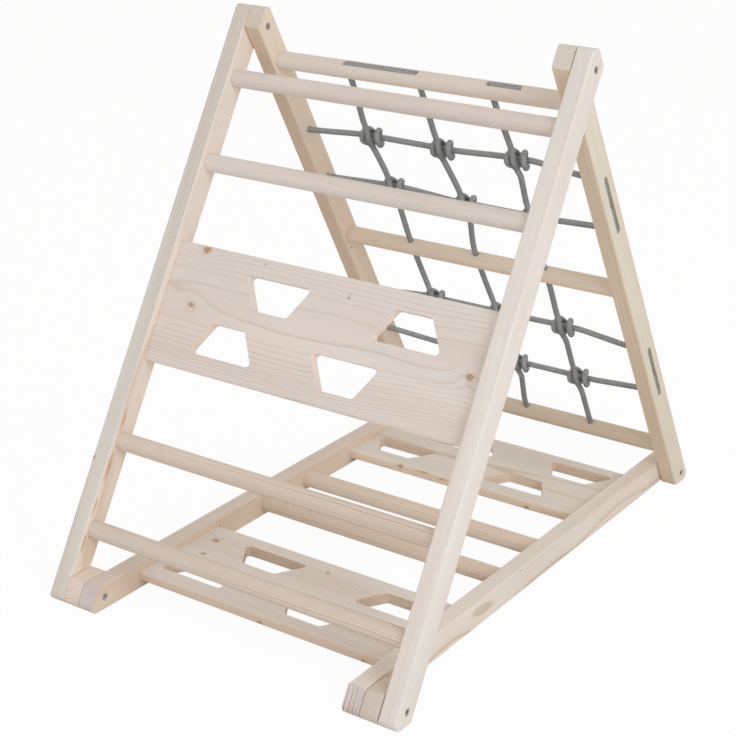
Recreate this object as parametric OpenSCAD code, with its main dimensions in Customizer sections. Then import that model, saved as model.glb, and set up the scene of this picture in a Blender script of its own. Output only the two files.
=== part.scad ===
// Triangular climbing frame: a front ladder, a base ladder and a rear net frame, bolted into a triangle.
// Lengths are in millimetres. +X runs along the rungs, +Y from front to rear and +Z up.
// The origin is on the ground, below the middle of the triangle.
// Each ladder is drawn lying down, with its outer face on the ground, and is then turned into place.

/* [Triangle] */
// Side of the triangle between its sharp outer corners
side_l = 1040; // [920:10:1400]
// Rounding of the triangle's three outer corners
corner_r = 12; // [6:1:18]
// Width over the outer faces of the front ladder
frame_w = 666; // [630:2:900]

/* [Stiles] */
// Thickness of a stile across the frame
stile_t = 30; // [27:1:36]
// Depth of a stile in the plane of its ladder
stile_d = 44; // [40:1:56]
// Rounding of a stile's long edges
stile_r = 3; // [1:0.5:5]
// Play between two stiles that are bolted together
layer_gap = 1; // [0.6:0.1:2]
// Length of a front spacer block from the sharp front corner
spacer_l = 82; // [70:1:140]

/* [Rungs] */
// Diameter of a rung
rung_d = 30; // [24:1:34]
// Depth of the blind bore that a rung is glued into
rung_seat = 20; // [12:1:22]
// Distance of the front ladder's end rungs from the sharp corners
front_rung_end = 133; // [110:1:160]
// Distance between the two neighbouring rungs of the front ladder
front_rung_pitch = 148; // [90:1:170]
// Distance between the two rungs of the base ladder
base_rung_pitch = 124; // [80:1:160]
// Distance of the net's top and bottom rungs from the sharp corners
net_rung_end = 109; // [95:1:130]

/* [Boards] */
// Width of a foot board
board_w = 205; // [195:1:230]
// Thickness of a foot board
board_t = 18; // [15:1:24]
// Rounding of a foot board's long edges
board_r = 6; // [2:0.5:7]
// Depth of the housing that takes a foot board's end
board_seat = 12; // [8:1:18]
// Distance of a base board's middle from the sharp corner
base_board_end = 224; // [205:1:250]

/* [Foot holes] */
// Long side of a foot hole
hole_long = 130; // [100:1:138]
// Short side of a foot hole
hole_short = 66; // [50:1:90]
// Height of a foot hole between its long and short side
hole_h = 54; // [40:1:58]
// Rounding of a foot hole's corners
hole_r = 6.5; // [3:0.5:12]

/* [Rope net] */
// Diameter of the rope
rope_d = 10; // [7:0.5:11]
// Distance between two upright ropes
rope_pitch = 136; // [110:1:170]
// Distance of the inner rows from the middle rung
row_inner = 145; // [120:1:160]
// Distance of the outer rows from the middle rung
row_outer = 256; // [230:1:270]
// Length of the rope's loose ends in the slots of the end rungs
rope_tail = 58; // [40:1:80]

/* [Fasteners] */
// Diameter of a connector bolt
bolt_d = 6; // [5:0.5:8]
// Diameter of the heads of bolts and sleeve nuts
bolt_head_d = 12; // [11:0.5:14]
// Distance of the rear bolts from both outer faces
rear_bolt_inset = 18; // [16:0.5:24]

/* [Hidden] */
$fn = 48;
// Room around glued and housed ends, around rope and around bolts
fit_gap = 0.2;
rope_gap = 0.35;
// Length by which every cut runs past the face that it opens
overrun = 2;
// Colours
wood = [0.90, 0.82, 0.71];
rope_grey = [0.47, 0.48, 0.49];
zinc = [0.74, 0.75, 0.76];

// Triangle
corner_angle = 60;
inradius = side_l / 2 * tan(corner_angle / 2);
half_l = side_l / 2;
// Turn of each ladder about the middle of the triangle
base_turn = 0;
net_turn = 120;
front_turn = 240;

// Layers of stiles that lie outside each ladder
front_layer_count = 0;
net_layer_count = 1;
base_layer_count = 2;
function outer_x(layer) = frame_w / 2 - layer * (stile_t + layer_gap);
function inner_x(layer) = outer_x(layer) - stile_t;

// Rungs and boards along their ladders, from the middle of the side
mid_d = stile_d / 2;
front_end_s = half_l - front_rung_end;
front_inner_s = front_end_s - front_rung_pitch;
base_rung_s = base_rung_pitch / 2;
base_board_s = half_l - base_board_end;
net_rung_s = half_l - net_rung_end;

// Places of the four foot holes: across the base ladder's clear width, along the board's width,
// and which way the long side lies
hole_across_shares = [-0.19, -0.332, 0.139, 0.333];
hole_along_shares = [0.215, -0.22, -0.244, 0.215];
hole_turns = [1, -1, 1, -1];

// Connector bolts and sleeve nuts
head_h = 4;
head_sink = 0.8;
socket_af = 5;
socket_h = 2.5;
sleeve_wall = 1.5;
sleeve_l = 22;
sleeve_web = 2;
thread_gap = 0.1;
sleeve_d = bolt_d + 2 * sleeve_wall;
bolt_inset = stile_d / 2;

// Rope: slots, bends and the hitch of a column round a row
slot_cover = 1;
slot_h = rope_d + slot_cover;
rope_hole_d = rope_d + 2 * rope_gap;
// Distance of a slotted rope's middle from the face that the slot is cut into
rope_sink = slot_h - rope_gap - rope_d / 2;
bend_relief = 0.8;
bend_r = rope_d / 2 + bend_relief;
bend_steps = 4;
slot_end_gap = 12;
rope_sides = 6;
// Places of a column in its hitch, in rope diameters from the row's middle: along, to the front, upwards.
// It comes down before the row and turns round it twice, first on its right side and then on its left.
knot_shares = [
    [-0.3, 0.4, 3.6], [-0.15, 0.55, 2.4], [0, 0.85, 1.2], [0.05, 1.1, 0.2], [0.15, 0.85, -0.75],
    [0.35, 0.05, -1.15], [0.65, -0.85, -0.75], [1, -1.1, 0.15], [1.35, -0.65, 0.95], [1.65, 0.3, 1.15],
    [1.85, 1, 0.5], [1.9, 1.05, -0.4], [1.65, 0.6, -1.25], [1.35, -0.1, -1.7], [0.85, -0.8, -2.05],
    [0.2, -1.3, -1.8], [-0.3, -1.4, -1.05], [-0.6, -1.25, -0.15], [-0.8, -0.8, 0.8], [-1, 0.05, 1.15],
    [-1.2, 0.8, 0.85], [-1.25, 1.1, 0.05], [-1.15, 0.95, -0.65], [-0.85, 0.5, -1.25], [-0.6, 0.25, -1.9],
    [-0.3, 0.3, -2.7], [0, 0.4, -3.6]
];
knot_steps = 2;
// Where a row begins and ends its straight way through a hitch, and how far it lies behind the columns there
row_hold_shares = [-2, 0.5, 3];
row_back_share = 0.4;
// Rows from top to bottom, and how far their knots are drawn upwards and sideways, in rope diameters
row_places = [row_outer, row_inner, -row_inner, -row_outer];
knot_lift_shares = [
    [0.5, 0.4, 1],
    [0.1, -0.8, -0.9],
    [0.9, 0.9, 1.05],
    [-1.4, -1.4, -1.4]
];
knot_side_shares = [
    [-0.45, 0.05, 0.75],
    [0.4, 1.2, 0.6],
    [0.5, 0.6, 0],
    [0.3, 1.1, 0.1]
];

// Convex outline with rounded corners, as straight edges and true circles
function unit(v) = v / norm(v);
function corner_back(pts, i) = unit(pts[(i + len(pts) - 1) % len(pts)] - pts[i]);
function corner_on(pts, i) = unit(pts[(i + 1) % len(pts)] - pts[i]);
function half_angle(pts, i) = acos(corner_back(pts, i) * corner_on(pts, i)) / 2;
function tangent_l(pts, radii, i) = radii[i] / tan(half_angle(pts, i));
function round_middle(pts, radii, i) =
    pts[i] + unit(corner_back(pts, i) + corner_on(pts, i)) * radii[i] / sin(half_angle(pts, i));
module rounded_outline(pts, radii) {
    polygon([for (i = [0 : len(pts) - 1])
        each (radii[i] > 0
            ? [pts[i] + corner_back(pts, i) * tangent_l(pts, radii, i),
               pts[i] + corner_on(pts, i) * tangent_l(pts, radii, i)]
            : [pts[i]])]);
    for (i = [0 : len(pts) - 1])
        if (radii[i] > 0)
            translate(round_middle(pts, radii, i)) circle(r = radii[i]);
}

module rounded_bar(w, h, r) {
    pts = [[-w / 2, -h / 2], [w / 2, -h / 2], [w / 2, h / 2], [-w / 2, h / 2]];
    rounded_outline(pts, [for (p = pts) r]);
}

// Turns a ladder that is drawn lying down into its side of the triangle
module in_ladder(turn) {
    translate([0, 0, inradius]) rotate([turn, 0, 0]) translate([0, 0, -inradius]) children();
}

// Draws the right-hand piece, or its mirror image on the left
module on_side(side) {
    if (side > 0) children();
    else mirror([1, 0, 0]) children();
}

// Lays a rod or hole that is drawn upright along +X, from x0 to x1
module along_x(x0, d, x1) {
    translate([x0, 0, 0]) rotate([0, 90, 0]) cylinder(d = d, h = x1 - x0);
}

// Outline of a stile from the side: a strip of the triangle with its two outer corners rounded
module stile_outline() {
    top_s = half_l - stile_d / tan(corner_angle);
    pts = [[-half_l, 0], [half_l, 0], [top_s, stile_d], [-top_s, stile_d]];
    rounded_outline(pts, [corner_r, corner_r, 0, 0]);
}

// Stile without holes, lying on the ground in its layer
module stile_blank(layer) {
    intersection() {
        translate([inner_x(layer), 0, 0]) rotate([90, 0, 90]) linear_extrude(stile_t) stile_outline();
        translate([inner_x(layer) + stile_t / 2, half_l, mid_d]) rotate([90, 0, 0])
            linear_extrude(side_l) rounded_bar(stile_t, stile_d, stile_r);
    }
}

// Blind bores for rungs and housings for boards, opened from a stile's inner face
module rung_bore(layer, s) {
    translate([0, s, mid_d])
        along_x(inner_x(layer) - overrun, rung_d + 2 * fit_gap, inner_x(layer) + rung_seat + fit_gap);
}

module board_housing(layer, s) {
    translate([inner_x(layer) - overrun, s, mid_d]) rotate([90, 0, 90])
        linear_extrude(overrun + board_seat + fit_gap)
            rounded_bar(board_w + 2 * fit_gap, board_t + 2 * fit_gap, board_r + fit_gap);
}

// Place of a corner bolt in a ladder that lies down; end is -1 or 1
function bolt_place(end, inset) = [0, end * (half_l - inset / tan(corner_angle / 2)), inset];

// Holes for one connector bolt and its sleeve nut, through all layers from one face to the other
module bolt_cut(x_in, x_out) {
    head_cut = head_h + head_sink + fit_gap;
    along_x(x_in - overrun, bolt_d + 2 * fit_gap, x_out + overrun);
    along_x(x_out - head_cut, bolt_head_d + 2 * fit_gap, x_out + overrun);
    along_x(x_in - overrun, bolt_head_d + 2 * fit_gap, x_in + head_cut);
    along_x(x_in - overrun, sleeve_d + 2 * fit_gap, x_in + head_sink + head_h + sleeve_l + fit_gap);
}

module hex_socket(x_face, way) {
    translate([x_face, 0, 0]) rotate([0, 90 * way, 0]) translate([0, 0, -overrun])
        cylinder(d = socket_af / cos(30), h = socket_h + overrun, $fn = 6);
}

// Bolt with its head at the outer face and its tip inside the sleeve nut
module bolt(x_in, x_out) {
    head_face = x_out - head_sink;
    tip = x_in + head_sink + head_h + 2 * sleeve_web;
    difference() {
        union() {
            along_x(head_face - head_h, bolt_head_d, head_face);
            along_x(tip, bolt_d, head_face - head_h / 2);
        }
        hex_socket(head_face, -1);
    }
}

// Sleeve nut with its head at the inner face
module sleeve_nut(x_in) {
    head_face = x_in + head_sink;
    sleeve_end = head_face + head_h + sleeve_l;
    difference() {
        union() {
            along_x(head_face, bolt_head_d, head_face + head_h);
            along_x(head_face + head_h / 2, sleeve_d, sleeve_end);
        }
        along_x(head_face + head_h + sleeve_web, bolt_d + 2 * thread_gap, sleeve_end + overrun);
        hex_socket(head_face, 1);
    }
}

// The three corners: layers that each bolt joins
module top_bolt_cut(end) {
    translate(bolt_place(end, bolt_inset)) bolt_cut(inner_x(net_layer_count), outer_x(front_layer_count));
}

module front_bolt_cut(end) {
    translate(bolt_place(end, bolt_inset)) bolt_cut(inner_x(base_layer_count), outer_x(front_layer_count));
}

module rear_bolt_cut(end) {
    translate(bolt_place(end, rear_bolt_inset)) bolt_cut(inner_x(base_layer_count), outer_x(net_layer_count));
}

module front_stile(side) {
    color(wood) in_ladder(front_turn) on_side(side) difference() {
        stile_blank(front_layer_count);
        for (s = [-front_end_s, -front_inner_s, front_inner_s, front_end_s]) rung_bore(front_layer_count, s);
        board_housing(front_layer_count, 0);
        top_bolt_cut(-1);
        front_bolt_cut(1);
    }
}

module base_stile(side) {
    color(wood) in_ladder(base_turn) on_side(side) difference() {
        stile_blank(base_layer_count);
        for (s = [-base_rung_s, base_rung_s]) rung_bore(base_layer_count, s);
        for (s = [-base_board_s, base_board_s]) board_housing(base_layer_count, s);
        front_bolt_cut(-1);
        rear_bolt_cut(1);
    }
}

module net_stile(side) {
    color(wood) in_ladder(net_turn) on_side(side) difference() {
        stile_blank(net_layer_count);
        for (s = [-net_rung_s, 0, net_rung_s]) rung_bore(net_layer_count, s);
        for (s = row_places)
            translate([0, s, mid_d])
                along_x(inner_x(net_layer_count) - overrun, rope_hole_d, outer_x(net_layer_count) + overrun);
        for (way = [-1, 1]) row_slot(way * (row_inner + row_outer) / 2);
        rear_bolt_cut(-1);
        top_bolt_cut(1);
    }
}

// Slot in a net stile's outer face that joins the holes of two rows
module row_slot(s) {
    slot_l = row_outer - row_inner;
    translate([outer_x(net_layer_count) - slot_h, s - slot_l / 2, mid_d - rope_hole_d / 2])
        cube([slot_h + overrun, slot_l, rope_hole_d]);
}

// Block that fills the net's layer between the front and base stiles
module spacer_block(side) {
    nose_r = stile_d / 3;
    color(wood) in_ladder(base_turn) on_side(side) difference() {
        intersection() {
            translate([inner_x(net_layer_count), 0, 0]) rotate([90, 0, 90]) linear_extrude(stile_t)
                rounded_outline(
                    [[-half_l, 0], [spacer_l - half_l, 0], [spacer_l - half_l, stile_d],
                     [stile_d / tan(corner_angle) - half_l, stile_d]],
                    [corner_r, nose_r, nose_r, 0]);
            translate([inner_x(net_layer_count) + stile_t / 2, half_l, mid_d]) rotate([90, 0, 0])
                linear_extrude(side_l) rounded_bar(stile_t, stile_d, stile_r);
        }
        front_bolt_cut(-1);
    }
}

module rung(layer, s) {
    reach = inner_x(layer) + rung_seat;
    translate([0, s, mid_d]) along_x(-reach, rung_d, reach);
}

module front_rung(s) {
    color(wood) in_ladder(front_turn) rung(front_layer_count, s);
}

module base_rung(s) {
    color(wood) in_ladder(base_turn) rung(base_layer_count, s);
}

// Hole for an upright rope through a net rung
module column_hole(x, s) {
    translate([x, s - rung_d, mid_d]) rotate([-90, 0, 0]) cylinder(d = rope_hole_d, h = 2 * rung_d);
}

// Slot along an end rung, on the side that faces away from the net
module column_slot(x0, x1, s, way) {
    floor_s = s + way * (rung_d / 2 - slot_h);
    far_s = s + way * rung_d;
    translate([x0, min(floor_s, far_s), mid_d - rope_hole_d / 2])
        cube([x1 - x0, abs(far_s - floor_s), rope_hole_d]);
}

module net_rung(s, way) {
    color(wood) in_ladder(net_turn) difference() {
        rung(net_layer_count, s);
        for (x = [-rope_pitch, 0, rope_pitch]) column_hole(x, s);
        if (way > 0) {
            column_slot(-rope_pitch, 0, s, way);
            column_slot(rope_pitch, rope_pitch + rope_tail + rope_gap, s, way);
        }
        if (way < 0) {
            column_slot(0, rope_pitch, s, way);
            column_slot(-rope_pitch - rope_tail - rope_gap, -rope_pitch, s, way);
        }
    }
}

// Foot hole with its long side towards +Y, drawn from above
module foot_hole() {
    translate([0, 0, -board_t]) linear_extrude(2 * board_t)
        rounded_outline(
            [[-hole_short / 2, -hole_h / 2], [hole_short / 2, -hole_h / 2],
             [hole_long / 2, hole_h / 2], [-hole_long / 2, hole_h / 2]],
            [hole_r, hole_r, hole_r, hole_r]);
}

// Foot board; flip_x and flip_s turn its pattern of holes about
module foot_board(layer, s, flip_x, flip_s) {
    reach = inner_x(layer) + board_seat;
    hole_span = 2 * inner_x(base_layer_count);
    difference() {
        translate([-reach, s, mid_d]) rotate([90, 0, 90]) linear_extrude(2 * reach)
            rounded_bar(board_w, board_t, board_r);
        for (i = [0 : len(hole_turns) - 1])
            translate([flip_x * hole_across_shares[i] * hole_span, s, mid_d])
                translate([0, flip_s * hole_along_shares[i] * board_w, 0])
                    rotate([0, 0, hole_turns[i] * flip_s > 0 ? 0 : 180])
                        foot_hole();
    }
}

function reversed(p) = [for (i = [len(p) - 1 : -1 : 0]) p[i]];

// Smooth curve through points, each stretch of it in the same number of steps
function curve_point(a, b, c, d, t) =
    b + (c - a) * t / 2 + (2 * a - 5 * b + 4 * c - d) * t * t / 2 + (3 * b - a - 3 * c + d) * t * t * t / 2;
function curve(p, steps) = concat(
    [for (i = [0 : len(p) - 2]) for (k = [0 : steps - 1])
        curve_point(p[max(i - 1, 0)], p[i], p[i + 1], p[min(i + 2, len(p) - 1)], k / steps)],
    [p[len(p) - 1]]);

// Quarter bend at corner p, from unit direction a to unit direction b
function bend(p, a, b) =
    [for (k = [0 : bend_steps])
        p + bend_r * (b - a - b * cos(90 * k / bend_steps) + a * sin(90 * k / bend_steps))];

// Crossings of rows and columns, in the plane of the net
function crossing(row, col) =
    [(col - 1) * rope_pitch + knot_side_shares[row][col] * rope_d,
     row_places[row] + knot_lift_shares[row][col] * rope_d, mid_d];
function knot(row, col) =
    [for (q = curve(knot_shares, knot_steps))
        crossing(row, col) + rope_d * [q[0], q[2], q[1] - row_back_share]];

// A row, straight where it leaves the stiles' holes and where it passes the columns' hitches
row_x = outer_x(net_layer_count) - rope_sink;
to_right = [1, 0, 0];
to_top = [0, 1, 0];
function row_hold(row, way) = [way * (inner_x(net_layer_count) - rope_d), row_places[row], mid_d];
function row_line(row) = concat(
    [row_hold(row, -1)],
    [for (col = [0 : 2]) for (q = row_hold_shares) crossing(row, col) + rope_d * [q, 0, -row_back_share]],
    [row_hold(row, 1)]);
function row_left(row) = [-row_x, row_places[row], mid_d];
function row_right(row) = [row_x, row_places[row], mid_d];

// Two rows made of one rope, which turns in the left stile's slot; both ends lie in the right one's
function row_pair_route(row) = let (middle = (row_places[row] + row_places[row + 1]) / 2) concat(
    [[row_x, middle + slot_end_gap / 2, mid_d]],
    bend(row_right(row), to_top, -to_right),
    reversed(row_line(row)),
    bend(row_left(row), -to_right, -to_top),
    bend(row_left(row + 1), -to_top, to_right),
    row_line(row + 1),
    bend(row_right(row + 1), to_right, to_top),
    [[row_x, middle - slot_end_gap / 2, mid_d]]);

// One column between the end rungs, from bottom to top, straight where it passes the middle rung
function column_place(col, s) = [(col - 1) * rope_pitch, s, mid_d];
function column_line(col) = reversed(concat(
    knot(0, col),
    knot(1, col),
    [column_place(col, rung_d), column_place(col, -rung_d)],
    knot(2, col),
    knot(3, col)));

// The three columns are one rope that turns in the slots of the end rungs
column_s = net_rung_s + rung_d / 2 - rope_sink;
function column_foot(col) = column_place(col, -column_s);
function column_head(col) = column_place(col, column_s);
function column_hold(col, way) = column_place(col, way * (net_rung_s - rung_d));
column_route = concat(
    [column_foot(0) - rope_tail * to_right],
    bend(column_foot(0), to_right, to_top),
    [column_hold(0, -1)],
    column_line(0),
    [column_hold(0, 1)],
    bend(column_head(0), to_top, to_right),
    bend(column_head(1), to_right, -to_top),
    [column_hold(1, 1)],
    reversed(column_line(1)),
    [column_hold(1, -1)],
    bend(column_foot(1), -to_top, to_right),
    bend(column_foot(2), to_right, to_top),
    [column_hold(2, -1)],
    column_line(2),
    [column_hold(2, 1)],
    bend(column_head(2), to_top, to_right),
    [column_head(2) + rope_tail * to_right]);

// Rope swept along a route, with its rings turned as little as possible from one to the next
function along(p, i) = unit(p[min(i + 1, len(p) - 1)] - p[max(i - 1, 0)]);
function square_to(u, t) = unit(u - t * (u * t));
function ring(p, t, u) =
    [for (k = [0 : rope_sides - 1])
        p + rope_d / 2 * (cos(360 * k / rope_sides) * u + sin(360 * k / rope_sides) * cross(t, u))];
function rings(p) =
    [for (i = 0, u = square_to([0, 0, 1], along(p, 0)); i < len(p);
          u = square_to(u, along(p, min(i + 1, len(p) - 1))), i = i + 1)
        ring(p[i], along(p, i), u)];
function wall_faces(count) =
    [for (i = [0 : count - 2]) for (k = [0 : rope_sides - 1])
        let (a = i * rope_sides + k, b = i * rope_sides + (k + 1) % rope_sides)
            each [[a, a + rope_sides, b], [b, a + rope_sides, b + rope_sides]]];
function end_faces(count) =
    [for (k = [1 : rope_sides - 2]) each [
        [0, k, k + 1],
        [(count - 1) * rope_sides, (count - 1) * rope_sides + k + 1, (count - 1) * rope_sides + k]]];
module rope(route) {
    polyhedron([for (r = rings(route)) each r], concat(wall_faces(len(route)), end_faces(len(route))));
}

// Least gap of a hitch to itself and to its row, measured on the points of its middle line
knot_reach_share = 1.9;
function path_l(p, i, j) = i >= j ? 0 : norm(p[i + 1] - p[i]) + path_l(p, i + 1, j);
fine_knot = curve(knot_shares, 3 * knot_steps);
module print_knot_gap() {
    to_self = min([for (i = [0 : len(fine_knot) - 1]) for (j = [i + 1 : 1 : len(fine_knot) - 1])
        if (path_l(fine_knot, i, j) > knot_reach_share) norm(fine_knot[i] - fine_knot[j])]);
    to_row = min([for (q = fine_knot) norm([q[1], q[2]])]);
    echo(least_gap_to_itself = (to_self - 1) * rope_d, least_gap_to_row = (to_row - 1) * rope_d);
}

module net_rope_rows(row) {
    color(rope_grey) in_ladder(net_turn) rope(row_pair_route(row));
}

module net_rope_columns() {
    print_knot_gap();
    color(rope_grey) in_ladder(net_turn) rope(column_route);
}

// Fasteners of one corner, left and right
module both_sides(turn, place) {
    color(zinc) in_ladder(turn) for (side = [-1, 1]) on_side(side) translate(place) children();
}

front_stile(-1);  // front_stile_left
front_stile(1);  // front_stile_right
front_rung(-front_end_s);  // front_rung_1
front_rung(-front_inner_s);  // front_rung_2
front_rung(front_inner_s);  // front_rung_3
front_rung(front_end_s);  // front_rung_4
color(wood) in_ladder(front_turn) foot_board(front_layer_count, 0, 1, -1);  // front_foot_board
base_stile(-1);  // base_stile_left
base_stile(1);  // base_stile_right
base_rung(-base_rung_s);  // base_rung_front
base_rung(base_rung_s);  // base_rung_rear
color(wood) in_ladder(base_turn) foot_board(base_layer_count, -base_board_s, 1, 1);  // base_board_front
color(wood) in_ladder(base_turn) foot_board(base_layer_count, base_board_s, -1, -1);  // base_board_rear
net_stile(-1);  // net_stile_left
net_stile(1);  // net_stile_right
net_rung(net_rung_s, 1);  // net_rung_top
net_rung(0, 0);  // net_rung_middle
net_rung(-net_rung_s, -1);  // net_rung_bottom
spacer_block(-1);  // spacer_block_left
spacer_block(1);  // spacer_block_right
net_rope_columns();
net_rope_rows(0);  // net_rope_rows_upper
net_rope_rows(2);  // net_rope_rows_lower
both_sides(net_turn, bolt_place(1, bolt_inset))  // top_corner_bolts
        bolt(inner_x(net_layer_count), outer_x(front_layer_count));
both_sides(base_turn, bolt_place(-1, bolt_inset))  // front_corner_bolts
        bolt(inner_x(base_layer_count), outer_x(front_layer_count));
both_sides(base_turn, bolt_place(1, rear_bolt_inset))  // rear_corner_bolts
        bolt(inner_x(base_layer_count), outer_x(net_layer_count));
both_sides(net_turn, bolt_place(1, bolt_inset)) sleeve_nut(inner_x(net_layer_count));  // top_sleeve_nuts
both_sides(base_turn, bolt_place(-1, bolt_inset)) sleeve_nut(inner_x(base_layer_count));  // front_sleeve_nuts
both_sides(base_turn, bolt_place(1, rear_bolt_inset)) sleeve_nut(inner_x(base_layer_count));  // rear_sleeve_nuts
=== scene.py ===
"""Looks of a triangular wooden climbing frame: pale spruce, braided grey rope and zinc fasteners."""
import itertools
import math

import bmesh
import bpy
import numpy as np
from mathutils import Matrix, Vector


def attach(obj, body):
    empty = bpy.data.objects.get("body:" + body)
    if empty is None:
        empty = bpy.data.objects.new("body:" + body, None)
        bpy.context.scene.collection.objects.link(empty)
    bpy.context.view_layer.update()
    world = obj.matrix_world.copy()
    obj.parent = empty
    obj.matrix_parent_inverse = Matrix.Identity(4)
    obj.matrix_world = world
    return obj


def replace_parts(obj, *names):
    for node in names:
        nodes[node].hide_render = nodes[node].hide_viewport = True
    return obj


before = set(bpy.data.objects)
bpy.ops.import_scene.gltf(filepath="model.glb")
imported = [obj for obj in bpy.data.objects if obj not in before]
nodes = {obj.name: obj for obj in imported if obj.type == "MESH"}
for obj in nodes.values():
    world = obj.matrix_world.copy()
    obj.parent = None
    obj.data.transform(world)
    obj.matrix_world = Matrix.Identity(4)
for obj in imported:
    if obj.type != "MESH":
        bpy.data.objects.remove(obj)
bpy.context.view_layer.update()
scene = bpy.context.scene

# Camera: the photograph's place, angle and framing
CAMERA_AT = (1.48059, -2.2656, 1.37611)
AZIMUTH, ELEVATION, ROLL = (math.radians(angle) for angle in (35.16, 19.59, 0.13))
SENSOR_WIDTH, LENS = 36, 85.04
SHIFT_X, SHIFT_Y = 0.03125, -0.0771


def make_camera():
    back = Vector((math.sin(AZIMUTH) * math.cos(ELEVATION), -math.cos(AZIMUTH) * math.cos(ELEVATION),
                   math.sin(ELEVATION)))
    right = Vector((math.cos(AZIMUTH), math.sin(AZIMUTH), 0))
    up = back.cross(right)
    right, up = right * math.cos(ROLL) + up * math.sin(ROLL), up * math.cos(ROLL) - right * math.sin(ROLL)
    data = bpy.data.cameras.new("camera")
    data.sensor_width = SENSOR_WIDTH
    data.lens = LENS
    data.shift_x = SHIFT_X
    data.shift_y = SHIFT_Y
    camera = bpy.data.objects.new("camera", data)
    place = Matrix((right, up, back)).transposed().to_4x4()
    place.translation = CAMERA_AT
    camera.matrix_world = place
    scene.collection.objects.link(camera)
    scene.camera = camera


make_camera()


# Node graphs
def linear(r, g, b):
    """A colour written in the 0 to 255 values of a picture, as the shaders want it."""
    return tuple((c / 255 / 12.92 if c <= 10.3 else ((c / 255 + 0.055) / 1.055) ** 2.4) for c in (r, g, b)) + (1,)


class Graph:
    """The node tree of a material or of the world, with short calls for the nodes that are used here."""

    def __init__(self, owner):
        self.owner = owner
        owner.use_nodes = True
        self.tree = owner.node_tree
        self.tree.nodes.clear()

    def node(self, kind, inputs=(), **settings):
        made = self.tree.nodes.new("ShaderNode" + kind)
        for key, value in settings.items():
            setattr(made, key, value)
        for key, value in dict(inputs).items():
            if isinstance(value, bpy.types.NodeSocket):
                self.tree.links.new(value, made.inputs[key])
            else:
                made.inputs[key].default_value = value
        return made

    def math(self, operation, *values):
        return self.node("Math", enumerate(values), operation=operation).outputs[0]

    def vector(self, operation, *values):
        made = self.node("VectorMath", enumerate(values), operation=operation)
        return made.outputs["Value" if operation == "DOT_PRODUCT" else "Vector"]

    def xyz(self, x, y, z):
        return self.node("CombineXYZ", enumerate((x, y, z))).outputs[0]

    def noise(self, place, scale=1.0, detail=2.0, roughness=0.5, colour=False):
        made = self.node("TexNoise", {"Vector": place, "Scale": scale, "Detail": detail, "Roughness": roughness})
        return made.outputs["Color" if colour else "Fac"]

    def ramp(self, value, stops, ease="LINEAR"):
        made = self.node("ValToRGB", {0: value})
        made.color_ramp.interpolation = ease
        elements = made.color_ramp.elements
        while len(elements) < len(stops):
            elements.new(0.5)
        for element, (at, colour) in zip(elements, stops):
            element.position = at
            element.color = colour if hasattr(colour, "__len__") else (colour, colour, colour, 1)
        return made.outputs[0]

    def spread(self, value, from_low, from_high, to_low, to_high):
        return self.node("MapRange", {0: value, 1: from_low, 2: from_high, 3: to_low, 4: to_high}).outputs[0]

    def mix(self, factor, a, b, blend="MIX"):
        return self.node("Mix", {0: factor, 6: a, 7: b}, data_type="RGBA", blend_type=blend).outputs[2]

    def shaded(self, colour, shade):
        return self.mix(1.0, colour, self.xyz(shade, shade, shade), "MULTIPLY")

    def bump(self, height, strength, distance):
        return self.node("Bump", {"Strength": strength, "Distance": distance, "Height": height}).outputs[0]

    def finish(self, shader, output="OutputMaterial"):
        self.node(output, {"Surface": shader})
        return self.owner


def new_material(name):
    return Graph(bpy.data.materials.new(name))


def dress(node, material):
    obj = nodes[node]
    obj.data.materials.clear()
    obj.data.materials.append(material)


# Places in the three ladders: s runs along the stiles and d inwards from the outer faces. SIDE_L is the triangle's
# side, INRADIUS the distance of its middle from the sides, and MID_D the middle of the ladders' depth.
SIDE_L = 1.040
INRADIUS = SIDE_L / 2 * math.tan(math.radians(30))
TURNS = {"base": 0, "net": 120, "front": 240}
MID_D = 0.022


def ladder_axes(ladder):
    a = math.radians(TURNS[ladder])
    return Vector((0, math.cos(a), math.sin(a))), Vector((0, -math.sin(a), math.cos(a)))


def in_ladder(ladder, x, s, d):
    along, inward = ladder_axes(ladder)
    return Vector((x, 0, INRADIUS)) + along * s + inward * (d - INRADIUS)


# Wood: colours
PALE = linear(241, 231, 218)
RING = linear(212, 184, 158)
BLUSH = linear(238, 220, 204)
HONEY = linear(222, 180, 128)
RESIN = linear(214, 152, 90)
KNOT_RIM = linear(136, 98, 70)
KNOT_HEART = linear(196, 160, 126)
PIN = linear(70, 52, 40)
END_GRAIN = (0.92, 0.93, 0.99, 1)
END_RING = (0.5, 0.47, 0.5, 1)

# Wood: noises, as scale along the grain, scale across it and shift
WANDER_NOISE = (2.2, 5.0, 0.0)
CLEAR_NOISE = (1.2, 16.0, 3.0)
FIBRE_NOISE = (8.0, 380.0, 0.0)
CLOUD_NOISE = (1.7, 11.0, 9.0)
WARM_NOISE = (1.1, 18.0, 14.0)
RESIN_NOISE = (3.0, 46.0, 21.0)
RAGGED_NOISE = (110.0, 300.0, 5.0)
SEED_STEP = 7.31

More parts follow.
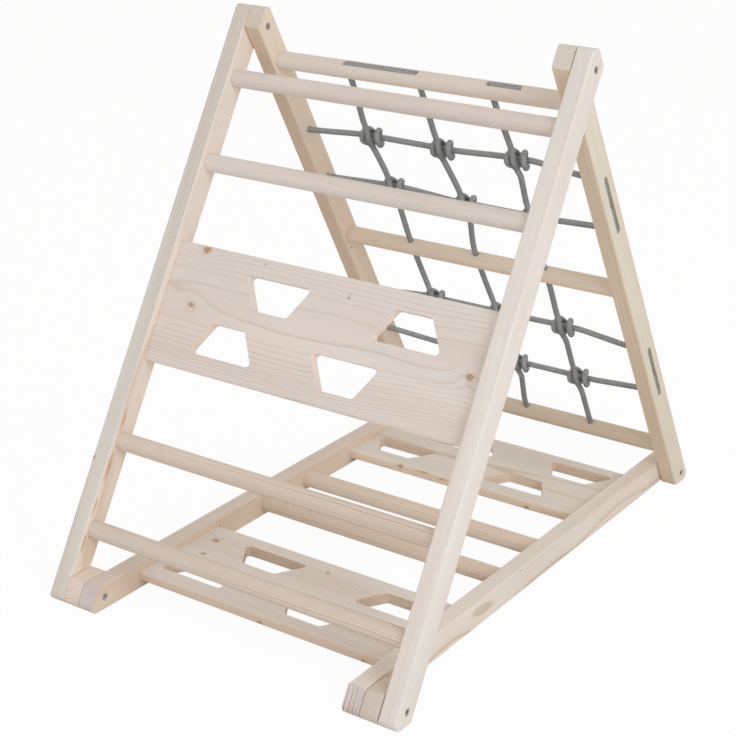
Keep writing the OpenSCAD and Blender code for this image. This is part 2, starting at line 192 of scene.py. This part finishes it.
# Wood: ranges of a noise or distance, and what they become
RING_CLEAR = (0.35, 0.68, 0.25, 1.0)
WARM_PART = (0.42, 0.66, 0.0, 1.0)
RESIN_PART = (0.6, 0.78, 0.0, 1.0)
FIBRE_SHADE = (0.25, 0.75, -0.04, 0.02)
CLOUD_SHADE = (0.3, 0.7, 0.945, 1.035)
WOOD_ROUGH = (0.3, 1.6, 0.47, 0.62)
FACE_TURN = (0.5, 0.9, 0.0, 1.0)
CUT_TURN = (0.5, 0.9, 1.0, 0.0)
END_TURN = (0.6, 0.9, 0.0, 1.0)
RESIN_EDGE = (0.35, 1.05, 0.75, 0.0)
KNOT_HALO = (0.9, 2.6, 1.0, 0.0)
KNOT_EDGE = (0.7, 1.2, 0.85, 0.0)
PIN_EDGE = (0.6, 1.1, 0.9, 0.0)

# Wood: growth rings. WANDER_Y and WANDER_Z say how far slow noise bends them, in metres. RING_SEAM, PALE_END and RISE
# are darkness in a ring, and PALE_AT, RISE_AT and PEAK_AT places in it, RISE_AT as a line over its pale share.
WANDER_Y, WANDER_Z = 0.034, 0.026
RING_UNEVEN, RING_UNEVEN_SCALE = 4.0, 70.0
RING_SEAM, PALE_END, RISE = 0.12, 0.04, 0.25
PALE_AT, RISE_AT, PEAK_AT = 0.08, (0.45, 0.5525), 0.93

# Wood: spots, and how far and how wide the rings swell round a knot
SPOT_LENGTHS = {"knot": 1.35, "pin": 1.0, "resin": 7.0}
KNOT_STOPS = [(0.0, KNOT_RIM), (0.25, KNOT_HEART), (0.6, KNOT_HEART), (0.9, KNOT_RIM)]
KNOT_SWELL, KNOT_REACH, EULER = 1.8, -0.06, 2.718

# Wood: shares of colour, raggedness of spots, and surface
WARM_MOST, RESIN_LEAST, HALO_MOST, RAGGED = 0.7, 0.06, 0.4, 1.3
RING_HEIGHT, FIBRE_HEIGHT, FIBRE_ROUGHNESS = 0.3, 0.7, 0.6
WOOD_BUMP = (0.16, 0.0004)
WOOD_SHINE = 0.22


def spot_distances(g, x, y, z, radius, spots):
    """Distance from the nearest spot of each kind, in spot sizes, and the rings' radius, which swells round knots."""
    near = {}
    for kind, at, across, size, from_side, *deep in spots:
        dx = g.math("MULTIPLY", g.math("SUBTRACT", x, at), 1 / (SPOT_LENGTHS[kind] * size))
        dy = g.math("MULTIPLY", g.math("SUBTRACT", z if from_side else y, across), 1 / size)
        square = g.math("ADD", g.math("MULTIPLY", dx, dx), g.math("MULTIPLY", dy, dy))
        if deep:
            dz = g.math("MULTIPLY", g.math("SUBTRACT", y if from_side else z, deep[0]), 1 / size)
            square = g.math("MULTIPLY_ADD", dz, dz, square)
        far = g.math("SQRT", square)
        if kind == "knot":
            swell = g.math("POWER", EULER, g.math("MULTIPLY", g.math("MULTIPLY", far, far), KNOT_REACH))
            radius = g.math("MULTIPLY_ADD", swell, size * KNOT_SWELL, radius)
        near[kind] = g.math("MINIMUM", near[kind], far) if kind in near else far
    return near, radius


def draw_spots(g, colour, near, ragged):
    """Resin, knots and pins on a colour. ragged is noise that breaks up the edges of resin and knots."""
    if "resin" in near:
        colour = g.mix(g.spread(g.math("ADD", near["resin"], ragged), *RESIN_EDGE), colour, RESIN)
    if "knot" in near:
        edge = g.math("ADD", near["knot"], ragged)
        colour = g.mix(g.math("MULTIPLY", g.spread(edge, *KNOT_HALO), HALO_MOST), colour, HONEY)
        colour = g.mix(g.spread(edge, *KNOT_EDGE), colour, g.ramp(edge, KNOT_STOPS, "EASE"))
    if "pin" in near:
        colour = g.mix(g.spread(near["pin"], *PIN_EDGE), colour, PIN)
    return colour


def wood(name, ladder, along_x, seed, pith, figure, tint, spots, face, cut, ring=0.0052, streak=0.0, end=False,
         early=0.55, sway=1.0):
    """Spruce as a solid texture, with its grain along the piece. pith is the middle of the growth rings, measured
    across the piece, ring their distance, figure how strongly they show, early the pale share of each and sway how far
    slow noise bends them. tint is a factor on the wood's colours, partly the piece's own tone and partly painted light
    and shade, and streak the extra strength of resin. spots are (kind, along, across, size, seen from the side or
    not), in metres, and a sixth number is the depth of a spot that doesn't go through the piece. face is painted light
    and shade: a colour factor on one of the piece's long faces, which makes it lighter or darker as light falls on it.
    cut is the tone of a board's edges and hole walls, and end says whether end grain shows."""
    g = new_material(name)
    run, inward = ladder_axes(ladder)
    side = Vector((1, 0, 0))
    coordinates = g.node("TexCoord").outputs
    place = g.vector("SUBTRACT", coordinates["Object"], (0, 0, INRADIUS))
    grain_way, cross_way = (side, run) if along_x else (run, side)
    x = g.vector("DOT_PRODUCT", place, tuple(grain_way))
    y = g.vector("DOT_PRODUCT", place, tuple(cross_way))
    z = g.math("ADD", g.vector("DOT_PRODUCT", place, tuple(inward)), INRADIUS - MID_D)
    shift = seed * SEED_STEP

    def stretched(lengthwise, crosswise, extra):
        return g.xyz(g.math("MULTIPLY_ADD", x, lengthwise, shift + extra), g.math("MULTIPLY", y, crosswise),
                     g.math("MULTIPLY", z, crosswise))

    def facing(direction):
        return g.vector("DOT_PRODUCT", coordinates["Normal"], tuple(direction))

    def off_pith(at, middle, bent, most):
        return g.math("ADD", g.math("SUBTRACT", at, middle),
                      g.math("MULTIPLY_ADD", bent, most * sway, -most / 2 * sway))

    # Growth rings, bent by slow noise and by the knots
    wander = g.node("SeparateXYZ", {0: g.noise(stretched(*WANDER_NOISE), colour=True)}).outputs
    ry = off_pith(y, pith[0], wander[0], WANDER_Y)
    rz = off_pith(z, pith[1], wander[1], WANDER_Z)
    radius = g.math("SQRT", g.math("ADD", g.math("MULTIPLY", ry, ry), g.math("MULTIPLY", rz, rz)))
    near, radius = spot_distances(g, x, y, z, radius, spots)
    ring_noise = g.noise(g.xyz(g.math("MULTIPLY", radius, RING_UNEVEN_SCALE), shift, 0.0), detail=1.0)
    uneven = g.math("MULTIPLY_ADD", ring_noise, RING_UNEVEN, -RING_UNEVEN / 2)
    phase = g.math("FRACT", g.math("ADD", g.math("MULTIPLY", radius, 1 / ring), uneven))
    late = g.ramp(phase, [(0.0, RING_SEAM), (PALE_AT, 0.0), (early, PALE_END),
                          (early * RISE_AT[0] + RISE_AT[1], RISE), (PEAK_AT, 1.0), (1.0, RING_SEAM)])
    clear = g.spread(g.noise(stretched(*CLEAR_NOISE), detail=1.0), *RING_CLEAR)
    late = g.math("MULTIPLY", g.math("MULTIPLY", late, clear), figure)

    # Fibres, slow changes of tone and resin
    fibre = g.noise(stretched(*FIBRE_NOISE), roughness=FIBRE_ROUGHNESS)
    cloud = g.noise(stretched(*CLOUD_NOISE))
    warm = g.spread(g.noise(stretched(*WARM_NOISE)), *WARM_PART)
    resin = g.spread(g.noise(stretched(*RESIN_NOISE)), *RESIN_PART)
    light, dark, blush = (tuple(c * t for c, t in zip(colour, tint)) + (1,) for colour in (PALE, RING, BLUSH))
    colour = g.mix(late, g.mix(g.math("MULTIPLY", warm, WARM_MOST), light, blush), dark)
    colour = g.mix(g.math("MULTIPLY", resin, RESIN_LEAST + streak), colour, HONEY)
    colour = g.shaded(colour, g.math("ADD", g.spread(fibre, *FIBRE_SHADE), g.spread(cloud, *CLOUD_SHADE)))

    # Painted light and shade on one long face, then tones of board edges and hole walls, and end grain
    if face:
        towards = {"right": side, "in": inward}[face[0]]
        colour = g.mix(g.spread(facing(towards), *FACE_TURN), colour, face[1] + (1,), "MULTIPLY")
    if cut:
        on_edge = g.spread(g.math("ABSOLUTE", facing(inward)), *CUT_TURN)
        colour = g.mix(on_edge, colour, cut + (1,), "MULTIPLY")
    if end:
        on_end = g.spread(g.math("ABSOLUTE", facing(grain_way)), *END_TURN)
        colour = g.mix(on_end, colour, END_GRAIN, "MULTIPLY")
        colour = g.mix(g.math("MULTIPLY", on_end, late), colour, END_RING, "MULTIPLY")

    # Spots and surface
    ragged = g.math("MULTIPLY_ADD", g.noise(stretched(*RAGGED_NOISE)), RAGGED, -RAGGED / 2)
    colour = draw_spots(g, colour, near, ragged)
    height = g.math("ADD", g.math("MULTIPLY", late, RING_HEIGHT), g.math("MULTIPLY", fibre, FIBRE_HEIGHT))
    rough = g.spread(g.math("ADD", fibre, late), *WOOD_ROUGH)
    shader = g.node("BsdfPrincipled", {"Base Color": colour, "Roughness": rough, "Specular IOR Level": WOOD_SHINE,
                                       "Normal": g.bump(height, *WOOD_BUMP)})
    return g.finish(shader.outputs[0])


# The pieces of wood: what the photograph shows of each one's spots, tone and figure. The first line has the stiles'
# faces that carry spots, as places across the frame, and the depth of an outer face.
FRONT_IN, BASE_IN, BASE_OUT, NET_IN, OUTER = -0.303, -0.241, 0.271, -0.272, -MID_D
SPOTS = {
    "front_foot_board": (("knot", -0.2462, -0.0955, 0.005, False), ("knot", -0.2438, -0.0021, 0.0036, False),
                         ("knot", 0.0422, -0.0713, 0.0016, False), ("knot", 0.2817, 0.0016, 0.0042, False),
                         ("pin", -0.1263, -0.0932, 0.0014, False)),
    "base_board_front": (("knot", -0.209, -0.2424, 0.0046, False), ("knot", -0.1963, -0.291, 0.003, False),
                         ("knot", 0.011, -0.2262, 0.0024, False), ("knot", 0.2003, -0.3981, 0.0026, False, -0.0051),
                         ("knot", 0.005, -0.3985, 0.0042, False, -0.006)),
    "base_board_rear": (("knot", -0.1253, 0.1935, 0.0034, False, 0.005), ("knot", 0.142, 0.1935, 0.0036, False, -0.004),
                        ("resin", -0.078, 0.1945, 0.0026, False, 0.006),
                        ("resin", -0.034, 0.1945, 0.0026, False, 0.003)),
    "base_stile_left": (("pin", -0.1937, 0.008, 0.0016, True, BASE_IN),),
    "net_stile_left": (("pin", -0.0247, 0.012, 0.0018, True, NET_IN),),
    "base_stile_right": (("pin", -0.0544, 0.0191, 0.0014, True, BASE_OUT),
                         ("pin", 0.0481, -0.0081, 0.0016, True, BASE_OUT),
                         ("pin", 0.2186, -0.0163, 0.0014, True, BASE_OUT)),
    "front_stile_left": (("resin", 0.285, -0.0125, 0.0042, True, FRONT_IN),
                         ("resin", 0.352, -0.0155, 0.0028, True, FRONT_IN),
                         ("resin", 0.203, -0.012, 0.003, True, FRONT_IN),
                         ("resin", 0.412, -0.0145, 0.003, True, FRONT_IN),
                         ("knot", 0.277, -0.331, 0.0026, False, OUTER)),
}
# Colour factors of the pieces, partly each piece's own tone and partly painted light and shade on the whole piece
TINTS_AND_PAINTED_LIGHT = {
    "front_stile_left": (0.99, 1.02, 1.06), "front_stile_right": (1.06, 1.08, 1.13),
    "front_foot_board": (1.03, 1.02, 1.06),
    "front_rung_1": (0.96, 0.94, 0.98), "front_rung_2": (1.0, 1.02, 1.07),
    "front_rung_3": (0.98, 0.94, 0.93), "front_rung_4": (0.96, 0.92, 0.91),
    "base_stile_left": (0.99, 0.96, 0.98), "base_stile_right": (1.06, 1.05, 1.05),
    "base_board_front": (1.05, 1.07, 1.14), "base_board_rear": (1.07, 1.09, 1.14),
    "base_rung_front": (1.03, 0.98, 0.94), "base_rung_rear": (1.08, 1.05, 1.04),
    "spacer_block_left": (1.06, 0.99, 0.97), "spacer_block_right": (0.9, 0.85, 0.83),
    "net_stile_left": (1.03, 0.97, 0.9), "net_stile_right": (1.01, 1.0, 0.94),
    "net_rung_top": (1.05, 1.05, 1.07), "net_rung_middle": (1.02, 0.95, 0.88), "net_rung_bottom": (0.9, 0.83, 0.75),
}
# Painted light and shade: a long face of a piece, by the way it faces, and the colour factor that makes it lighter or
# darker
FACE_PAINTED_LIGHT = {
    "front_stile_left": ("right", (1.13, 1.05, 1.0)), "base_stile_left": ("right", (1.03, 0.95, 0.84)),
    "base_stile_right": ("in", (1.04, 1.07, 1.1)), "net_stile_left": ("in", (0.88, 0.82, 0.78)),
    "net_stile_right": ("in", (0.95, 0.87, 0.81)),
}
CUTS = {"front_foot_board": (1.1, 1.08, 1.07), "base_board_front": (0.95, 0.85, 0.74),
        "base_board_rear": (1.0, 0.89, 0.78)}
FIGURES = {
    "front_stile_left": {"figure": 1.1, "pith": (-0.47, 0.01), "ring": 0.0044, "early": 0.3, "sway": 0.5},
    "front_stile_right": {"figure": 0.2},
    "base_stile_left": {"figure": 0.3},
    "base_stile_right": {"figure": 1.0, "pith": (0.1, 0.01), "ring": 0.0042, "early": 0.3, "sway": 0.55},
    "net_stile_left": {"figure": 0.35},
    "net_stile_right": {"figure": 0.4},
    "front_foot_board": {"figure": 0.7, "ring": 0.0043},
    "front_rung_1": {"figure": 0.35},
    "front_rung_2": {"figure": 0.25},
    "net_rung_middle": {"figure": 0.4},
    "front_rung_3": {"figure": 1.2, "ring": 0.004, "pith": (0.4, 0.01), "early": 0.2, "sway": 0.6},
    "front_rung_4": {"figure": 1.1, "ring": 0.004, "pith": (0.55, 0.01), "early": 0.2, "sway": 0.6},
    "base_rung_front": {"figure": 0.9, "ring": 0.004, "pith": (0.05, 0.13), "early": 0.25, "sway": 0.6},
    "base_rung_rear": {"figure": 0.9, "ring": 0.004, "pith": (0.17, 0.13), "early": 0.25, "sway": 0.6},
}
# Middles of the stiles across the frame, and of the rungs and boards along the stiles
STILES = {"front": 0.318, "base": 0.256, "net": 0.287}
RUNGS = {"front_rung_1": -0.387, "front_rung_2": -0.239, "front_rung_3": 0.239, "front_rung_4": 0.387,
         "base_rung_front": -0.062, "base_rung_rear": 0.062,
         "net_rung_top": 0.411, "net_rung_middle": 0.0, "net_rung_bottom": -0.411}
BOARDS = {"front_foot_board": 0.0, "base_board_front": -0.296, "base_board_rear": 0.296}
SIDES = (("left", -1), ("right", 1))
# How far the middle of the growth rings lies from a piece's own middle, or for spacers from the frame's, and how deep
STILE_PITH, RUNG_PITH, BOARD_PITH = (0.03, 0.055), (0.025, 0.04), (-0.02, 0.085)
SPACER_PITH = (0.31, 0.05)
seeds = itertools.count(1)


def wooden(node, ladder, along_x, **look):
    look.update(FIGURES.get(node, {}))
    dress(node, wood("wood_" + node, ladder, along_x, next(seeds), tint=TINTS_AND_PAINTED_LIGHT[node], spots=SPOTS.get(node, ()),
                     face=FACE_PAINTED_LIGHT.get(node), cut=CUTS.get(node), **look))


for ladder, middle in STILES.items():
    for hand, sign in SIDES:
        wooden(f"{ladder}_stile_{hand}", ladder, False, pith=(sign * (middle + STILE_PITH[0]), STILE_PITH[1]),
               figure=0.55, streak=0.12, end=True)
for hand, sign in SIDES:
    wooden(f"spacer_block_{hand}", "base", False, pith=(sign * SPACER_PITH[0], SPACER_PITH[1]), figure=0.6)
for node, s in RUNGS.items():
    wooden(node, node.split("_")[0], True, pith=(s + RUNG_PITH[0], RUNG_PITH[1]), ring=0.0042, figure=0.8,
           streak=0.05)
for node, s in BOARDS.items():
    wooden(node, node.split("_")[0], True, pith=(s + BOARD_PITH[0], BOARD_PITH[1]), ring=0.0055, figure=0.7,
           streak=0.05)


# Rope: material
ROPE_D = 0.010
ROPE_GREY = linear(196, 199, 201)
# Painted shade: the dark colour in the grooves between the strands
ROPE_GROOVE_SHADE = linear(50, 52, 56)
# Painted light and shade: the direction that the rope's palest painted side faces
ROPE_LIT_SIDE = (0.35, -0.45, 0.82)
STRANDS, LAY = 8.0, 0.032
YARN_SCALE, TONE_SCALE = (40.0, 1600.0), (7.0, 190.0)
GROOVE_SHADE_EDGE = (0.1, 0.8, 0.0, 1.0)
YARN_SHADE = (0.3, 0.7, -0.22, 0.2)
TONE_SHADE = (0.3, 0.7, 0.72, 1.24)
# How far the painted shade darkens the rope from its palest side to the side away from it
LIT_SIDE_SHADE = (-0.8, 0.8, 0.5, 1.06)
ROPE_ROUGH = (0.3, 0.7, 0.7, 0.9)
YARN_HEIGHT = 0.25
ROPE_BUMP = (0.8, 0.0006)
ROPE_SHINE = 0.2


def rope_material():
    """A plaited rope: two sets of strands that wind round it and pass over and under each other, with painted shade
    in the grooves between them. It has painted light and shade across it: it is palest on the side that faces one set
    direction and darker on the side away from it."""
    g = new_material("rope")
    uv = g.node("SeparateXYZ", {0: g.node("UVMap", uv_map="rope").outputs[0]}).outputs
    around, along = g.math("MULTIPLY", uv[0], STRANDS), g.math("MULTIPLY", uv[1], STRANDS / LAY)
    one, two = g.math("ADD", around, along), g.math("SUBTRACT", around, along)

    def strand(phase):
        return g.math("ABSOLUTE", g.math("SINE", g.math("MULTIPLY", phase, math.pi)))

    def speckle(u, v):
        return g.noise(g.xyz(g.math("MULTIPLY", uv[0], u), g.math("MULTIPLY", uv[1], v), 0.0))

    over = g.math("GREATER_THAN", g.math("SINE", g.math("MULTIPLY", g.math("ADD", one, two), math.pi / 2)), 0.0)
    plait = g.math("ADD", g.math("MULTIPLY", strand(one), over),
                   g.math("MULTIPLY", strand(two), g.math("SUBTRACT", 1.0, over)))
    yarn, tone = speckle(*YARN_SCALE), speckle(*TONE_SCALE)
    # Painted shade in the grooves between the strands
    colour = g.mix(g.spread(plait, *GROOVE_SHADE_EDGE), ROPE_GROOVE_SHADE, ROPE_GREY)
    shade = g.math("ADD", g.spread(yarn, *YARN_SHADE), g.spread(tone, *TONE_SHADE))
    # Painted light and shade: palest on the side facing the set direction, darker away from it
    upper = g.vector("DOT_PRODUCT", g.node("TexCoord").outputs["Normal"], ROPE_LIT_SIDE)
    colour = g.shaded(colour, g.math("MULTIPLY", shade, g.spread(upper, *LIT_SIDE_SHADE)))
    bump = g.bump(g.math("MULTIPLY_ADD", yarn, YARN_HEIGHT, plait), *ROPE_BUMP)
    shader = g.node("BsdfPrincipled", {"Base Color": colour, "Roughness": g.spread(yarn, *ROPE_ROUGH),
                                       "Normal": bump, "Specular IOR Level": ROPE_SHINE})
    return g.finish(shader.outputs[0])


# Rope: routes in the net's plane, the same as in the part's source
ROWS = [0.256, 0.145, -0.145, -0.256]
COLUMN_PITCH = 0.136
# How far each crossing lies from its even place, upwards and to the right, in rope diameters
CROSSING_UP = [(0.5, 0.4, 1), (0.1, -0.8, -0.9), (0.9, 0.9, 1.05), (-1.4, -1.4, -1.4)]
CROSSING_RIGHT = [(-0.45, 0.05, 0.75), (0.4, 1.2, 0.6), (0.5, 0.6, 0), (0.3, 1.1, 0.1)]
# A column's way through its hitch round a row, in rope diameters: along the row, towards the front, upwards
KNOT = [(-0.3, 0.4, 3.6), (-0.15, 0.55, 2.4), (0, 0.85, 1.2), (0.05, 1.1, 0.2), (0.15, 0.85, -0.75),
        (0.35, 0.05, -1.15), (0.65, -0.85, -0.75), (1, -1.1, 0.15), (1.35, -0.65, 0.95), (1.65, 0.3, 1.15),
        (1.85, 1, 0.5), (1.9, 1.05, -0.4), (1.65, 0.6, -1.25), (1.35, -0.1, -1.7), (0.85, -0.8, -2.05),
        (0.2, -1.3, -1.8), (-0.3, -1.4, -1.05), (-0.6, -1.25, -0.15), (-0.8, -0.8, 0.8), (-1, 0.05, 1.15),
        (-1.2, 0.8, 0.85), (-1.25, 1.1, 0.05), (-1.15, 0.95, -0.65), (-0.85, 0.5, -1.25), (-0.6, 0.25, -1.9),
        (-0.3, 0.3, -2.7), (0, 0.4, -3.6)]
KNOT_STEPS = 6
# Points of a row beside each crossing, and how far they lie behind it, in rope diameters
ROW_HOLD = (-2, 0.5, 3)
ROW_BACK = 0.4
# The net stiles' inner and outer faces, and the end rungs' place and radius
STILE_IN, STILE_OUT = 0.272, 0.302
RUNG_S, RUNG_R = RUNGS["net_rung_top"], 0.015
# Turns in the slots, and the rope's middle there
SLOT_DEPTH, ROPE_GAP, BEND_ROOM = ROPE_D + 0.001, 0.00035, 0.0008
BEND_R = ROPE_D / 2 + BEND_ROOM
BEND_POINTS = 7
ROPE_SINK = SLOT_DEPTH - ROPE_GAP - ROPE_D / 2
ROW_X = STILE_OUT - ROPE_SINK
COLUMN_S = RUNG_S + RUNG_R - ROPE_SINK
# Rope ends, from the middle between two rows and from the outer columns, and where columns run straight to the rungs
ROW_END, COLUMN_END = 0.006, 0.058
RUNG_HOLD, MIDDLE_HOLD = 0.381, 0.03
RIGHT, UP = np.array([1.0, 0, 0]), np.array([0, 1.0, 0])


def crossing(row, col):
    return np.array([(col - 1) * COLUMN_PITCH + CROSSING_RIGHT[row][col] * ROPE_D,
                     ROWS[row] + CROSSING_UP[row][col] * ROPE_D, MID_D])


def curve(points, steps):
    """Smooth curve through points, as in the part's source but finer."""
    p = np.array([points[0], *points, points[-1]], float)
    t = (np.arange(steps) / steps)[:, None]
    parts = [b + (c - a) * t / 2 + (2 * a - 5 * b + 4 * c - d) * t ** 2 / 2 + (3 * b - a - 3 * c + d) * t ** 3 / 2
             for a, b, c, d in zip(p, p[1:], p[2:], p[3:])]
    return np.concatenate(parts + [p[-1:]])


def bend(corner, a, b):
    t = np.linspace(0, np.pi / 2, BEND_POINTS)[:, None]
    return list(np.array(corner) + BEND_R * (b - a - b * np.cos(t) + a * np.sin(t)))


def row_line(row):
    hold = [(way * (STILE_IN - ROPE_D), ROWS[row], MID_D) for way in (-1, 1)]
    knots = [crossing(row, col) + ROPE_D * np.array([q, 0, -ROW_BACK]) for col in range(3) for q in ROW_HOLD]
    return hold[:1] + knots + hold[1:]


def row_pair(row):
    ends = [(sign * ROW_X, ROWS[r], MID_D) for r in (row, row + 1) for sign in (1, -1)]
    middle = (ROWS[row] + ROWS[row + 1]) / 2
    return ([(ROW_X, middle + ROW_END, MID_D)] + bend(ends[0], UP, -RIGHT) + row_line(row)[::-1]
            + bend(ends[1], -RIGHT, -UP) + bend(ends[3], -UP, RIGHT) + row_line(row + 1) + bend(ends[2], RIGHT, UP)
            + [(ROW_X, middle - ROW_END, MID_D)])


def column(col):
    def place(at):
        return np.array([(col - 1) * COLUMN_PITCH, at, MID_D])

    def knot(row):
        return [crossing(row, col) + ROPE_D * (q[[0, 2, 1]] - [0, 0, ROW_BACK]) for q in curve(KNOT, KNOT_STEPS)]

    return ([place(RUNG_HOLD)] + knot(0) + knot(1) + [place(MIDDLE_HOLD), place(-MIDDLE_HOLD)] + knot(2) + knot(3)
            + [place(-RUNG_HOLD)])[::-1]


def column_rope():
    foot = [((c - 1) * COLUMN_PITCH, -COLUMN_S, MID_D) for c in range(3)]
    head = [((c - 1) * COLUMN_PITCH, COLUMN_S, MID_D) for c in range(3)]
    return ([np.array(foot[0]) - COLUMN_END * RIGHT] + bend(foot[0], RIGHT, UP) + column(0) + bend(head[0], UP, RIGHT)
            + bend(head[1], RIGHT, -UP) + column(1)[::-1] + bend(foot[1], -UP, RIGHT) + bend(foot[2], RIGHT, UP)
            + column(2) + bend(head[2], UP, RIGHT) + [np.array(head[2]) + COLUMN_END * RIGHT])


# Rope: meshes
ROPE_STEP = 0.0022
ROPE_SIDES = 14
MELT_L, MELT_R = 0.002, 0.72
FIRST_UP = (0.3, 0.9, 0.2)


def smooth_line(points, step):
    """Points about step apart on a centripetal curve through the route."""
    p = np.array([np.array(q, float) for q in points])
    p = p[np.concatenate([[True], np.linalg.norm(np.diff(p, axis=0), axis=1) > 1e-6])]
    p = np.concatenate([[2 * p[0] - p[1]], p, [2 * p[-1] - p[-2]]])
    line = []
    for i in range(1, len(p) - 2):
        t = np.concatenate([[0], np.cumsum(np.sqrt(np.linalg.norm(np.diff(p[i - 1:i + 3], axis=0), axis=1)))])
        count = max(1, round(np.linalg.norm(p[i + 1] - p[i]) / step))
        for v in t[1] + (t[2] - t[1]) * np.arange(count) / count:
            a = [((t[k + 1] - v) * p[i - 1 + k] + (v - t[k]) * p[i + k]) / (t[k + 1] - t[k]) for k in range(3)]
            b = [((t[k + 2] - v) * a[k] + (v - t[k]) * a[k + 1]) / (t[k + 2] - t[k]) for k in range(2)]
            line.append(((t[2] - v) * b[0] + (v - t[1]) * b[1]) / (t[2] - t[1]))
    return np.array(line + [p[-2]])


def make_rope(name, points, material):
    """A round rope swept along a route in the net's plane, with its ends melted to a narrower tip."""
    line = [in_ladder("net", *q) for q in smooth_line(points, ROPE_STEP)]
    lengths = [0.0]
    for a, b in zip(line, line[1:]):
        lengths.append(lengths[-1] + (b - a).length)
    mesh = bmesh.new()
    uv = mesh.loops.layers.uv.new("rope")
    up = Vector(FIRST_UP)
    rings, where = [], {}
    for i, p in enumerate(line):
        t = (line[min(i + 1, len(line) - 1)] - line[max(i - 1, 0)]).normalized()
        up = (up - t * up.dot(t)).normalized()
        other = t.cross(up)
        from_end = min(lengths[i], lengths[-1] - lengths[i])
        melted = 1 if from_end > MELT_L else MELT_R + (1 - MELT_R) * math.sin(math.pi / 2 * from_end / MELT_L)
        ring = []
        for k in range(ROPE_SIDES):
            a = 2 * math.pi * k / ROPE_SIDES
            vertex = mesh.verts.new(p + (up * math.cos(a) + other * math.sin(a)) * (ROPE_D / 2 * melted))
            where[vertex] = (k / ROPE_SIDES, lengths[i])
            ring.append(vertex)
        rings.append(ring)
    for low, high in zip(rings, rings[1:]):
        for k in range(ROPE_SIDES):
            after = (k + 1) % ROPE_SIDES
            corners = (low[k], low[after], high[after], high[k])
            face = mesh.faces.new(corners)
            face.smooth = True
            for loop, vertex in zip(face.loops, corners):
                u, v = where[vertex]
                loop[uv].uv = (u + (1 if after == 0 and u == 0 else 0), v)
    for ring in (rings[0][::-1], rings[-1]):
        for loop in mesh.faces.new(ring).loops:
            loop[uv].uv = where[loop.vert]
    data = bpy.data.meshes.new(name)
    mesh.to_mesh(data)
    mesh.free()
    data.materials.append(material)
    obj = bpy.data.objects.new(name, data)
    scene.collection.objects.link(obj)
    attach(obj, "root")
    return obj


braid = rope_material()
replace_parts(make_rope("braided_columns", column_rope(), braid), "net_rope_columns")
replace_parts(make_rope("braided_rows_upper", row_pair(0), braid), "net_rope_rows_upper")
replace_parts(make_rope("braided_rows_lower", row_pair(2), braid), "net_rope_rows_lower")


# Fasteners
ZINC_DARK, ZINC_LIGHT = linear(168, 171, 176), linear(204, 206, 208)
SPANGLE_SCALE, WEAR_SCALE = 900.0, 160.0
ZINC_ROUGH = (0.3, 0.7, 0.26, 0.42)
ZINC_BUMP = (0.15, 0.0002)


def zinc_material():
    g = new_material("zinc")
    place = g.node("TexCoord").outputs["Object"]
    spangle = g.noise(place, SPANGLE_SCALE)
    wear = g.noise(place, WEAR_SCALE, 3.0)
    shader = g.node("BsdfPrincipled", {"Base Color": g.mix(spangle, ZINC_DARK, ZINC_LIGHT), "Metallic": 1.0,
                                       "Roughness": g.spread(wear, *ZINC_ROUGH), "Normal": g.bump(wear, *ZINC_BUMP)})
    return g.finish(shader.outputs[0])


zinc = zinc_material()
for corner in ("top", "front", "rear"):
    for fastener in ("corner_bolts", "sleeve_nuts"):
        dress(f"{corner}_{fastener}", zinc)


# Floor, light and world
WHITE = (1, 1, 1, 1)
FLOOR_GREY = (0.86, 0.86, 0.86, 1)
FLOOR_SIZE, FLOOR_DROP, FLOOR_WHITE = 30, 0.0005, 0.955
AMBIENT = (0.6, 0.568, 0.508, 1)
# Name, place, size, power and colour
LAMPS = (("right", (3.4, -1.4, 2.0), 2.4, 54, (0.74, 0.84, 1)), ("front", (-1.2, -3.6, 2.4), 2.6, 20, (0.6, 0.72, 1)))
LAMP_AIM = (0, 0, 0.4)


def make_floor():
    mesh = bmesh.new()
    bmesh.ops.create_grid(mesh, x_segments=1, y_segments=1, size=FLOOR_SIZE)
    data = bpy.data.meshes.new("floor")
    mesh.to_mesh(data)
    mesh.free()
    floor = bpy.data.objects.new("floor", data)
    floor.location.z = -FLOOR_DROP
    scene.collection.objects.link(floor)
    g = new_material("floor")
    share = g.math("MULTIPLY", g.node("LightPath").outputs["Is Camera Ray"], FLOOR_WHITE)
    matt = g.node("BsdfDiffuse", {"Color": FLOOR_GREY}).outputs[0]
    white = g.node("Emission", {"Color": WHITE, "Strength": 1.0}).outputs[0]
    data.materials.append(g.finish(g.node("MixShader", {0: share, 1: matt, 2: white}).outputs[0]))


def make_world():
    """White to the camera and in reflections, and a dimmer, warmer light elsewhere."""
    scene.world = bpy.data.worlds.new("world")
    g = Graph(scene.world)
    path = g.node("LightPath").outputs
    seen = g.math("MAXIMUM", path["Is Camera Ray"], path["Is Glossy Ray"])
    g.finish(g.node("Background", {"Color": g.mix(seen, AMBIENT, WHITE)}).outputs[0], "OutputWorld")


def make_lamps():
    for name, place, size, power, colour in LAMPS:
        lamp = bpy.data.lights.new(name, "AREA")
        lamp.shape = "DISK"
        lamp.size = size
        lamp.energy = power
        lamp.color = colour
        obj = bpy.data.objects.new(name, lamp)
        obj.location = place
        obj.rotation_mode = "QUATERNION"
        obj.rotation_quaternion = (Vector(LAMP_AIM) - Vector(place)).to_track_quat("-Z", "Y")
        scene.collection.objects.link(obj)


make_floor()
make_world()
make_lamps()
scene.view_settings.view_transform = "Standard"
